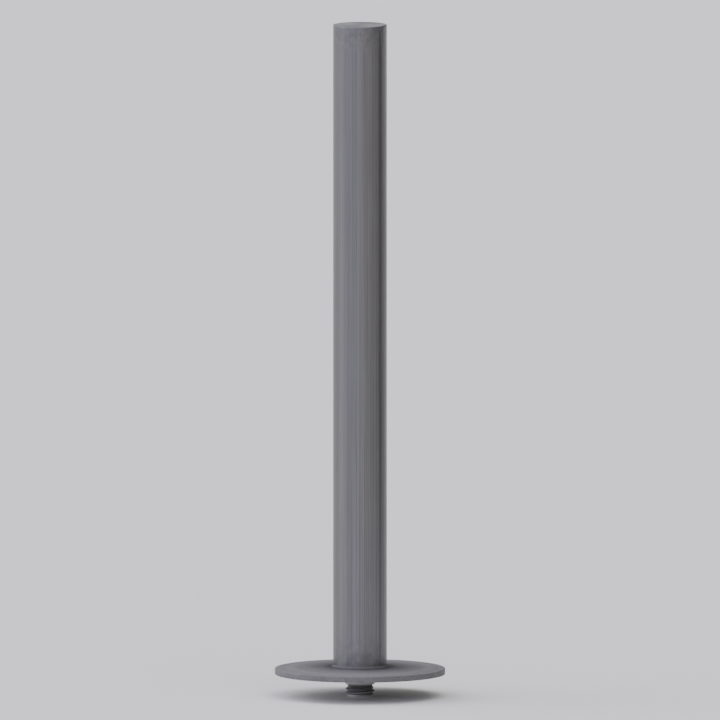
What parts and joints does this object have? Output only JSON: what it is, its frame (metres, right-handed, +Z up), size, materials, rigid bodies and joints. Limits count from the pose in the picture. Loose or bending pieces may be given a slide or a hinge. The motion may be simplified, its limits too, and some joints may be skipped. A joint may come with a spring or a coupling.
{
  "type": "stanchion base",
  "caption": "Closed tubular post welded on a round crowned flange, with a threaded stud that screws into a tapped deck socket.",
  "frame": {"origin": "centre of the flange's underside, on the axis of the post: the point where the axis meets the deck", "axes": "+Z up along the post, away from the deck; the part is round about Z, so +X and +Y are free, and the hidden lock pin lies along X"},
  "size_m": [0.0804, 0.0804, 0.3191],
  "materials": {
    "satin_tube": "satin, brushed along and round the tube",
    "turned_steel": "fine turned",
    "weld": "dressed weld",
    "thread_steel": "as machined",
    "seal": "matt black"
  },
  "bodies": {
    "root": {"post_tube": "satin_tube", "top_cap": "turned_steel", "cap_weld": "weld", "base_flange": "turned_steel", "foot_weld": "weld", "foot_plug": "turned_steel", "plug_weld": "weld", "mounting_stud": "thread_steel", "stud_lock_pin": "thread_steel", "deck_seal": "seal"}
  },
  "joints": []
}
